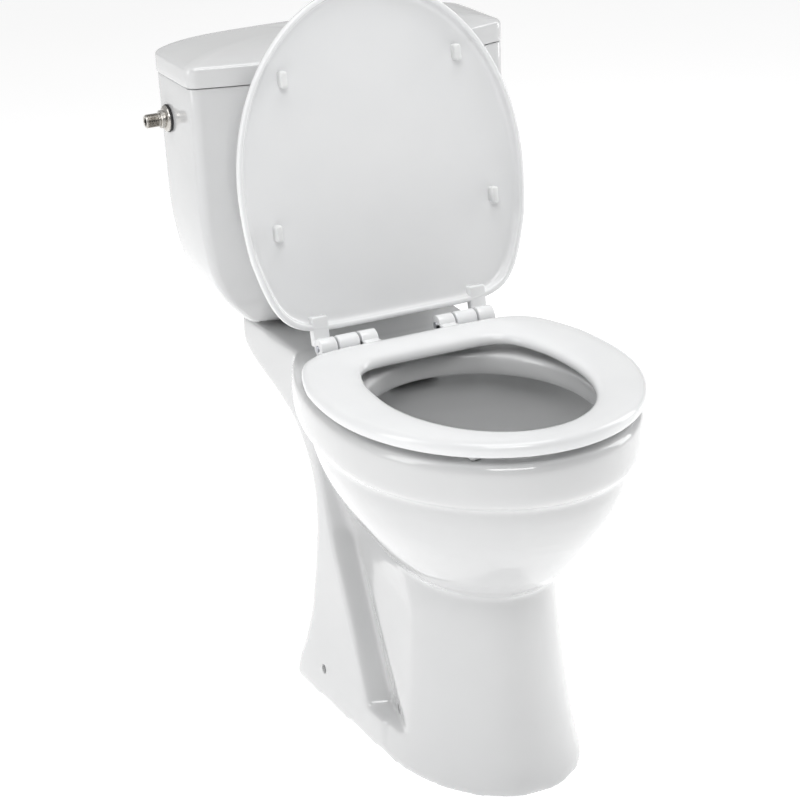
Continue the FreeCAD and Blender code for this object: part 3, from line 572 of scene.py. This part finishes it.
def seat_plan(name, height, grow=0.0):
    """The flat outline of the seat, grown by a little for the lid."""
    back = SEAT_BACK + grow
    piece = egg(name, height, SEAT_MIDDLE, 0.183 + grow, 0.230 + grow, 0.300, cut_back=back, points=128)
    pick(piece, lambda p: p.y > back - NEAR)
    bpy.ops.mesh.subdivide(number_cuts=27)
    pick(piece, lambda p: p.y > -0.120)
    bpy.ops.mesh.vertices_smooth(factor=0.5, repeat=26)
    bpy.ops.mesh.select_all(action="SELECT")
    return piece


def open_ends(piece):
    """Takes away the first and last face of a closed ring of levels and welds the ring."""
    bpy.ops.mesh.select_mode(type="FACE")
    bpy.ops.mesh.select_all(action="DESELECT")
    bpy.ops.mesh.select_face_by_sides(number=4, type="GREATER")
    bpy.ops.mesh.delete(type="ONLY_FACE")
    bpy.ops.mesh.select_mode(type="VERT")
    bpy.ops.mesh.select_all(action="SELECT")
    bpy.ops.mesh.remove_doubles(threshold=NEAR)
    return close(piece)


def joined(piece, others):
    """Adds other closed forms to one piece's mesh."""
    only(piece)
    for other in others:
        other.select_set(True)
    bpy.ops.object.join()
    return piece


print("seat helpers ready")

# %% [markdown]
# A moulded hinge eye is a barrel with softened ends and a short flat arm that runs into the seat.
# The barrels of the ring, the post and the lid stand side by side on one axis.

# %% Hinge eyes
HINGE = Vector((0, -0.016, 0.477))
EYE, ARM = 0.021, 0.036


def soft_box(name, middle, size, soft, steps=3):
    """A box with every edge rounded."""
    bpy.ops.object.select_all(action="DESELECT")
    bpy.ops.mesh.primitive_cube_add(size=1, location=middle)
    bpy.context.object.scale = size
    piece = added(name)
    open_up()
    bpy.ops.mesh.bevel(offset=soft, segments=steps)
    return close(piece)


def soft_barrel(name, x, width, radius=0.012):
    """A short round bar across the seat with rounded ends."""
    barrel = rod(name, radius, (x - width / 2, HINGE.y, HINGE.z), (x + width / 2, HINGE.y, HINGE.z), 48)
    return modify(barrel, "BEVEL", width=0.0012, segments=3, limit_method="ANGLE", angle_limit=radians(50))


def eyes(x, low, high):
    """The left and right hinge eyes of one moulding, with their arms."""
    pieces = []
    for side in (-1, 1):
        pieces.append(soft_barrel("eye", side * x, EYE))
        pieces.append(soft_box("arm", (side * x, HINGE.y - ARM / 2, (low + high) / 2),
                               (EYE, ARM, high - low), 0.002))
    return pieces


print("hinge eyes ready")

# %% [markdown]
# The ring's section is drawn by its levels: a flat underside, a full outer edge, a gently convex top
# and a rounded inner edge. Each row gives a height and how far it lies from the outer outline, 0,
# to the edge of the hole, 1. The hole's outline is the outer one, narrowed about a point.

# %% The seat ring
RING_ROWS = [
    (0.4661, 0.94), (0.4661, 0.055), (0.4667, 0.024), (0.4684, 0.006), (0.4712, 0.0), (0.4742, 0.0),
    (0.4770, 0.010), (0.4791, 0.032), (0.4806, 0.066), (0.4817, 0.115), (0.4824, 0.19), (0.4828, 0.29),
    (0.4829, 0.40), (0.4828, 0.52), (0.4824, 0.64), (0.4817, 0.755), (0.4806, 0.85), (0.4790, 0.92),
    (0.4768, 0.965), (0.4740, 0.99), (0.4712, 1.0), (0.4690, 0.998), (0.4672, 0.98), (0.4661, 0.94)]
HOLE_X, HOLE_Y, HOLE_ABOUT = 0.645, 0.746, -0.247
ring = seat_plan("seat_ring_plastic", RING_ROWS[0][0])
rows = [(z, 1 - t * (1 - HOLE_X), 1 - t * (1 - HOLE_Y)) for z, t in RING_ROWS]
bpy.ops.transform.resize(value=(rows[0][1], rows[0][2], 1), center_override=(0, HOLE_ABOUT, rows[0][0]))
climb(rows, (0, HOLE_ABOUT))
open_ends(ring)
joined(ring, eyes(0.051, 0.468, 0.4808))
finished(ring, "ring", "seat_plastic", "seat_ring", angle=50)

# %% [markdown]
# The lid is a shallow tray, modelled closed and upside up: its underside is recessed inside a thin
# turned-down lip, its outside rolls over a wide shoulder. Once shaped, it is turned about the hinge
# axis by the joint's whole travel, because the lid stands open at rest. The rows give height and how
# far the outline is set in.

# %% The seat lid
OPEN = radians(98.5)
LID_ROWS = [
    (0.4969, 0.0160), (0.4967, 0.0120), (0.4958, 0.0094), (0.4940, 0.0080), (0.4900, 0.0071),
    (0.4874, 0.0064), (0.4863, 0.0052), (0.4860, 0.0036), (0.4863, 0.0018), (0.4874, 0.0005),
    (0.4892, 0.0), (0.4930, 0.0), (0.4962, 0.0008), (0.4988, 0.0028), (0.5007, 0.0062), (0.5019, 0.0110),
    (0.5026, 0.0180), (0.50295, 0.0300)]
LID_ABOUT, LID_HALF, LID_REACH = -0.233, 0.184, 0.200


def stand_open(piece):
    """Turns a piece of the lid from its closed place to its open one."""
    open_up()
    bpy.ops.transform.rotate(value=OPEN, orient_axis="X", orient_type="GLOBAL", center_override=HINGE)
    return close(piece)


lid = seat_plan("seat_lid_plastic", LID_ROWS[0][0], grow=0.001)
rows = [(z, 1 - inset / LID_HALF, 1 - inset / LID_REACH) for z, inset in LID_ROWS]
bpy.ops.transform.resize(value=(rows[0][1], rows[0][2], 1), center_override=(0, LID_ABOUT, rows[0][0]))
climb(rows, (0, LID_ABOUT))
close(lid)
joined(lid, eyes(0.104, 0.4862, 0.4985))
stand_open(lid)
finished(lid, "lid", "seat_plastic", "seat_lid", angle=50)

# %% [markdown]
# Small pads keep plastic off china and lid off ring. Each is a rounded block of soft rubber, let
# into the underside; one is shaped per place, and the four of a kind are one piece.

# %% The pads
def pads(name, places, low, high):
    """Left and right pads from (x, y, width, length) places."""
    made = []
    for x, y, width, length in places:
        for side in (-1, 1):
            made.append(soft_box(name, (side * x, y, (low + high) / 2), (width, length, high - low),
                                 0.0032, 5))
    made[0].name = name
    return joined(made[0], made[1:])


ring_pads = pads("ring_pads", [(0.146, -0.118, 0.015, 0.034), (0.086, -0.371, 0.015, 0.022)], 0.4564, 0.4664)
finished(ring_pads, "ring", "buffer_rubber", "ring_buffers")
lid_pads = pads("lid_pads", [(0.141, -0.158, 0.009, 0.020), (0.112, -0.335, 0.009, 0.020)], 0.4838, 0.4972)
stand_open(only(lid_pads))
finished(lid_pads, "lid", "buffer_rubber", "lid_buffers")

# %% [markdown]
# Each hinge post is one plastic moulding: a round foot on the china, a block and a barrel. Melting
# the three into one skin, at a fine voxel size, gives the soft inner corners of a moulded part.

# %% The hinge posts
for side, word in ((-1, "left"), (1, "right")):
    x = side * SEAT_BOLT_X
    post = merged("hinge_post_%s_plastic" % word, [
        soft_box("post_block", (x, -0.001, 0.4668), (0.0266, 0.0296, 0.0205), 0.0022),
        soft_barrel("post_barrel", x, 0.0268, 0.0119),
        rod("post_foot", 0.0208, (x, 0, 0.4565), (x, 0, 0.4622))],
        voxel=0.0009)
    modify(post, "SMOOTH", factor=0.5, iterations=6)
    carve(post, rod("pin_hole", 0.00402, (x - 0.03, HINGE.y, HINGE.z), (x + 0.03, HINGE.y, HINGE.z), 32))
    carve(post, rod("stud_hole", 0.00405, (x, 0, 0.45), (x, 0, 0.468), 32))
    finished(post, "base", "hinge_plastic", "hinge_post_" + word, angle=50)

# %% [markdown]
# Turned parts are drawn like a lathe draws them: a circle moves along the axis, and each row gives
# its distance and its radius. The inlet tail has a bore, a chamfered end and a fine thread, whose
# ridges are rows that alternate between crest and root.

# %% Helper for turned parts
def turned(name, centre, axis, rows, points=64):
    """A piece turned about an axis, from (distance, radius) rows."""
    centre, axis = Vector(centre), Vector(axis)
    place, radius = rows[0]
    bpy.ops.object.select_all(action="DESELECT")
    bpy.ops.mesh.primitive_circle_add(vertices=points, radius=radius, fill_type="NGON",
                                      location=centre + axis * place,
                                      rotation=axis.to_track_quat("Z", "Y").to_euler())
    piece = added(name)
    open_up()
    for next_place, next_radius in rows[1:]:
        bpy.ops.mesh.extrude_region_move(TRANSFORM_OT_translate={"value": axis * (next_place - place)})
        grow = next_radius / radius
        bpy.ops.transform.resize(value=(grow, grow, grow), center_override=centre + axis * next_place)
        place, radius = next_place, next_radius
    return piece


print("lathe ready")

# %% [markdown]
# The inlet is three turned parts on one axis: the tail with its flange inside the tank, the
# dished nut that pulls it tight, and the washer between nut and china. Each row list walks round the
# section and ends where it began, so the part closes on itself.

# %% The inlet fitting
INWARD = Vector((1, 0, 0))
CREST, ROOT, PITCH, RIDGES = 0.0083, 0.00765, 0.0008, 18
thread = []
for ridge in range(RIDGES):
    start = 0.0014 + ridge * PITCH
    thread += [(start, ROOT), (start + 0.0003, CREST), (start + 0.0004, CREST), (start + 0.0007, ROOT)]
tail = turned("inlet_tail_metal", (-0.235, INLET.y, INLET.z), INWARD, [
    (0.0818, 0.0045), (0.0006, 0.0045), (0.0, 0.0050), (0.0, 0.0069), (0.0008, ROOT)] + thread + [
    (0.0162, ROOT), (0.0174, ROOT), (0.0176, CREST), (0.0443, CREST), (0.0443, 0.0148), (0.0446, 0.015),
    (0.0496, 0.015), (0.050, 0.0146), (0.050, 0.013), (0.0815, 0.013), (0.0818, 0.0126), (0.0818, 0.0045)])
finished(open_ends(tail), "base", "nickel", "inlet_tail", angle=30)

nut = turned("inlet_nut_metal", (-0.217, INLET.y, INLET.z), INWARD, [
    (0.0, 0.00835), (0.0, 0.0098), (0.0008, 0.0109), (0.0052, 0.0109), (0.0054, 0.0128), (0.0072, 0.0157),
    (0.0078, 0.0160), (0.0090, 0.0160), (0.0090, 0.00835), (0.0, 0.00835)], points=48)
finished(open_ends(nut), "base", "nickel", "inlet_flange_nut", angle=30)

washer = turned("inlet_washer_rubber", (-0.2078, INLET.y, INLET.z), INWARD, [
    (0.0, 0.0088), (0.0, 0.0162), (0.0004, 0.0168), (0.0010, 0.0170), (0.0017, 0.0170), (0.0023, 0.0167),
    (0.0026, 0.0161), (0.0026, 0.0088), (0.0, 0.0088)], points=48)
finished(open_ends(washer), "base", "black_rubber", "inlet_washer")

# %% [markdown]
# The button sits in a chromed ring. Its two halves part on a straight line off the middle: the large
# one gives the full flush, the small one the half flush. Their tops are slightly dished, to guide
# a finger, and each stands on the stem that reaches the valve.

# %% The flush button
bezel = turned("button_ring_chrome", (0, FLUSH_Y, 0), (0, 0, 1), [
    (0.7812, 0.0275), (0.7812, 0.0294), (0.8150, 0.0294), (0.8152, 0.0354), (0.8156, 0.0359),
    (0.8163, 0.0359), (0.8173, 0.0352), (0.8180, 0.0341), (0.8184, 0.0327), (0.8186, 0.0311),
    (0.8185, 0.0297), (0.8180, 0.0285), (0.8170, 0.0278), (0.8158, 0.0275), (0.7812, 0.0275)],
    points=96)
finished(open_ends(bezel), "base", "chrome", "button_bezel", angle=60)


BUTTON_UNDER = 0.8062


def half_button(name, side, edge, middle, stem):
    """One half of the button: side is -1 for the part left of the edge, 1 for the part right of it."""
    bpy.ops.object.select_all(action="DESELECT")
    bpy.ops.mesh.primitive_circle_add(vertices=96, radius=0.0268, fill_type="NGON",
                                      location=(0, FLUSH_Y, BUTTON_UNDER))
    piece = added(name)
    open_up()
    bpy.ops.mesh.bisect(plane_co=(edge, 0, 0), plane_no=(-side, 0, 0), clear_outer=True, use_fill=False)
    bpy.ops.mesh.select_all(action="SELECT")
    climb([(BUTTON_UNDER, 1, 1), (0.8157, 1, 1), (0.8165, 0.99, 0.992), (0.8169, 0.965, 0.97),
           (0.8169, 0.93, 0.94), (0.8166, 0.8, 0.82), (0.8163, 0.55, 0.57), (0.8162, 0.25, 0.26)],
          (middle, FLUSH_Y))
    close(piece)
    return joined(piece, [rod("stem", 0.0035, (stem, FLUSH_Y, 0.6564), (stem, FLUSH_Y, 0.8070), 32)])


full_button = half_button("full_button_chrome", -1, 0.0066, -0.008, -0.009)
finished(full_button, "full_flush", "chrome", "full_flush_button")
small_button = half_button("half_button_chrome", 1, 0.0074, 0.0165, 0.017)
finished(small_button, "half_flush", "chrome", "half_flush_button")

# %% [markdown]
# No real surface has one even colour. Every finish is therefore built the same way from three layers
# of noise, in object coordinates so that it sits still on its piece: a broad one drifts between two
# near tones, a second lets the gloss vary, and a fine one lifts the surface a little. What is the same
# all over, such as metal or index of refraction, is set on the shader itself.

# %% Helper for finishes
def finish(name, dark, light, gloss, drift, patches, grain, lift, **sockets):
    """A material: two tones, a range of roughness, the three noise scales and the height of the grain."""
    material = bpy.data.materials.new(name)
    material.use_nodes = True
    nodes, links = material.node_tree.nodes, material.node_tree.links
    shader = nodes["Principled BSDF"]
    place = nodes.new("ShaderNodeTexCoord")

    def noise(scale, detail):
        texture = nodes.new("ShaderNodeTexNoise")
        texture.inputs["Scale"].default_value = scale
        texture.inputs["Detail"].default_value = detail
        links.new(place.outputs["Object"], texture.inputs["Vector"])
        return texture.outputs["Fac"]

    tones = nodes.new("ShaderNodeValToRGB")
    tones.color_ramp.elements[0].position, tones.color_ramp.elements[1].position = 0.35, 0.65
    tones.color_ramp.elements[0].color, tones.color_ramp.elements[1].color = (*dark, 1), (*light, 1)
    links.new(noise(drift, 3), tones.inputs["Fac"])
    links.new(tones.outputs["Color"], shader.inputs["Base Color"])
    spread = nodes.new("ShaderNodeMapRange")
    spread.inputs["To Min"].default_value, spread.inputs["To Max"].default_value = gloss
    links.new(noise(patches, 4), spread.inputs["Value"])
    links.new(spread.outputs["Result"], shader.inputs["Roughness"])
    bump = nodes.new("ShaderNodeBump")
    bump.inputs["Strength"].default_value = 0.35
    bump.inputs["Distance"].default_value = lift
    links.new(noise(grain, 5), bump.inputs["Height"])
    links.new(bump.outputs["Normal"], shader.inputs["Normal"])
    for socket, amount in sockets.items():
        shader.inputs[socket.replace("_", " ")].default_value = amount
    return material


print("finish helper ready")

# %% [markdown]
# Vitreous china is white clay under clear glaze. The glaze pools and thins, so it is never quite flat:
# its grain is broad and shallow, and bends the reflections a little. A clear coat gives the depth. The
# china's two tones are painted shade: they are set well below white, so the casting renders grey, as
# in shade, while the floor stays white. The seat is a pressed thermoset: as white as the china really
# is, a touch cooler, and smoother.

# %% The finishes
FINISHES = {
    # The china's two tones are painted shade, set far darker than white glaze so the casting renders grey.
    "sanitaryware": finish(
        "glazed_china_painted_shade", (0.600, 0.605, 0.609), (0.640, 0.643, 0.645), gloss=(0.10, 0.17), drift=4.0,
        patches=18.0, grain=22.0, lift=0.0006, Coat_Weight=0.7, Coat_Roughness=0.035, IOR=1.52),
    "seat_plastic": finish(
        "seat_thermoset", (0.785, 0.792, 0.798), (0.825, 0.83, 0.833), gloss=(0.11, 0.19), drift=5.0,
        patches=30.0, grain=60.0, lift=0.00012, Coat_Weight=0.35, Coat_Roughness=0.06, IOR=1.50),
    "hinge_plastic": finish(
        "hinge_nylon", (0.80, 0.81, 0.82), (0.84, 0.845, 0.85), gloss=(0.24, 0.36), drift=20.0,
        patches=60.0, grain=500.0, lift=0.00006, IOR=1.50),
    "buffer_rubber": finish(
        "pad_rubber", (0.70, 0.71, 0.71), (0.78, 0.785, 0.78), gloss=(0.42, 0.6), drift=60.0,
        patches=120.0, grain=900.0, lift=0.00008, IOR=1.48),
    "black_rubber": finish(
        "black_rubber", (0.012, 0.012, 0.013), (0.03, 0.03, 0.032), gloss=(0.5, 0.72), drift=60.0,
        patches=120.0, grain=900.0, lift=0.0001, IOR=1.48),
    "nickel": finish(
        "nickel_plate", (0.42, 0.40, 0.37), (0.60, 0.58, 0.55), gloss=(0.16, 0.34), drift=60.0,
        patches=180.0, grain=700.0, lift=0.00004, Metallic=1.0),
    "chrome": finish(
        "chrome_plate", (0.66, 0.67, 0.68), (0.74, 0.745, 0.75), gloss=(0.04, 0.10), drift=12.0,
        patches=50.0, grain=260.0, lift=0.00001, Metallic=1.0),
    "valve_plastic": finish(
        "valve_acetal", (0.70, 0.71, 0.70), (0.79, 0.795, 0.785), gloss=(0.34, 0.5), drift=25.0,
        patches=80.0, grain=600.0, lift=0.00006, IOR=1.48),
    "nut_plastic": finish(
        "nut_nylon", (0.60, 0.61, 0.60), (0.70, 0.705, 0.69), gloss=(0.38, 0.55), drift=40.0,
        patches=90.0, grain=600.0, lift=0.00007, IOR=1.53),
    "steel": finish(
        "zinc_steel", (0.44, 0.45, 0.48), (0.60, 0.61, 0.63), gloss=(0.26, 0.46), drift=70.0,
        patches=200.0, grain=800.0, lift=0.00004, Metallic=1.0),
    "float_foam": finish(
        "float_foam", (0.16, 0.22, 0.34), (0.22, 0.29, 0.42), gloss=(0.6, 0.8), drift=30.0,
        patches=100.0, grain=420.0, lift=0.0003, IOR=1.45),
}
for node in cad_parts.values():
    for place in node.material_slots:
        place.material = FINISHES[place.material.name.split(".")[0]]
for piece, slot in OWN:
    piece.data.materials.clear()
    piece.data.materials.append(FINISHES[slot])
print(len(FINISHES), "finishes on", len(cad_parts) + len(OWN), "objects")

# %% [markdown]
# The object stands on a plain pale floor. It glows a little, as a light table does, so that it stays
# white around a white object.

# %% The floor
bpy.ops.object.select_all(action="DESELECT")
bpy.ops.mesh.primitive_plane_add(size=60, location=(0, 0, -0.0005))
floor = added("floor")
floor.data.materials.append(finish(
    "pale_floor", (0.86, 0.86, 0.86), (0.89, 0.89, 0.89), gloss=(0.7, 0.85), drift=0.6, patches=3.0,
    grain=8.0, lift=0.0001, Emission_Color=(1, 1, 1, 1), Emission_Strength=0.56))
print("floor laid")

# %% [markdown]
# Glossy china shows its lamps, so each is a large soft box: two tall ones at the sides draw bright
# edges, one overhead lights the seat and the bowl, and one from the front left fills the cistern.

# %% The lamps
def soft_box_light(place, width, height, power, aim=(0, -0.05, 0.40)):
    """A rectangular lamp that looks at the object."""
    way = Vector(aim) - Vector(place)
    bpy.ops.object.light_add(type="AREA", location=place, rotation=way.to_track_quat("-Z", "Y").to_euler())
    lamp = bpy.context.object.data
    lamp.shape, lamp.size, lamp.size_y, lamp.energy = "RECTANGLE", width, height, power


soft_box_light((-2.4, 0.2, 1.6), 0.9, 2.4, 17)
soft_box_light((2.3, -0.3, 1.5), 0.9, 2.4, 22)
soft_box_light((0.0, -0.3, 3.0), 1.8, 1.4, 25)
soft_box_light((-0.9, -2.2, 2.8), 1.6, 1.2, 33, aim=(0, 0.1, 0.85))

# %% [markdown]
# The world lights what the lamps miss. It is brighter behind than in front, and so the roundness of
# the bowl shows as a slow fall towards grey.

# %% The world
FRONT_GLOW, BACK_GLOW = 0.12, 0.50
world = bpy.data.worlds.new("studio")
bpy.context.scene.world = world
world.use_nodes = True
nodes, links = world.node_tree.nodes, world.node_tree.links
way_in = nodes.new("ShaderNodeTexCoord")
split = nodes.new("ShaderNodeSeparateXYZ")
links.new(way_in.outputs["Generated"], split.inputs["Vector"])
fall = nodes.new("ShaderNodeMapRange")
fall.inputs["From Min"].default_value, fall.inputs["From Max"].default_value = -1.0, 0.6
fall.inputs["To Min"].default_value, fall.inputs["To Max"].default_value = FRONT_GLOW, BACK_GLOW
links.new(split.outputs["Y"], fall.inputs["Value"])
links.new(fall.outputs["Result"], nodes["Background"].inputs["Strength"])
nodes["Background"].inputs["Color"].default_value = (1, 1, 1, 1)
bpy.context.scene.view_settings.view_transform = "Standard"
print("studio ready")
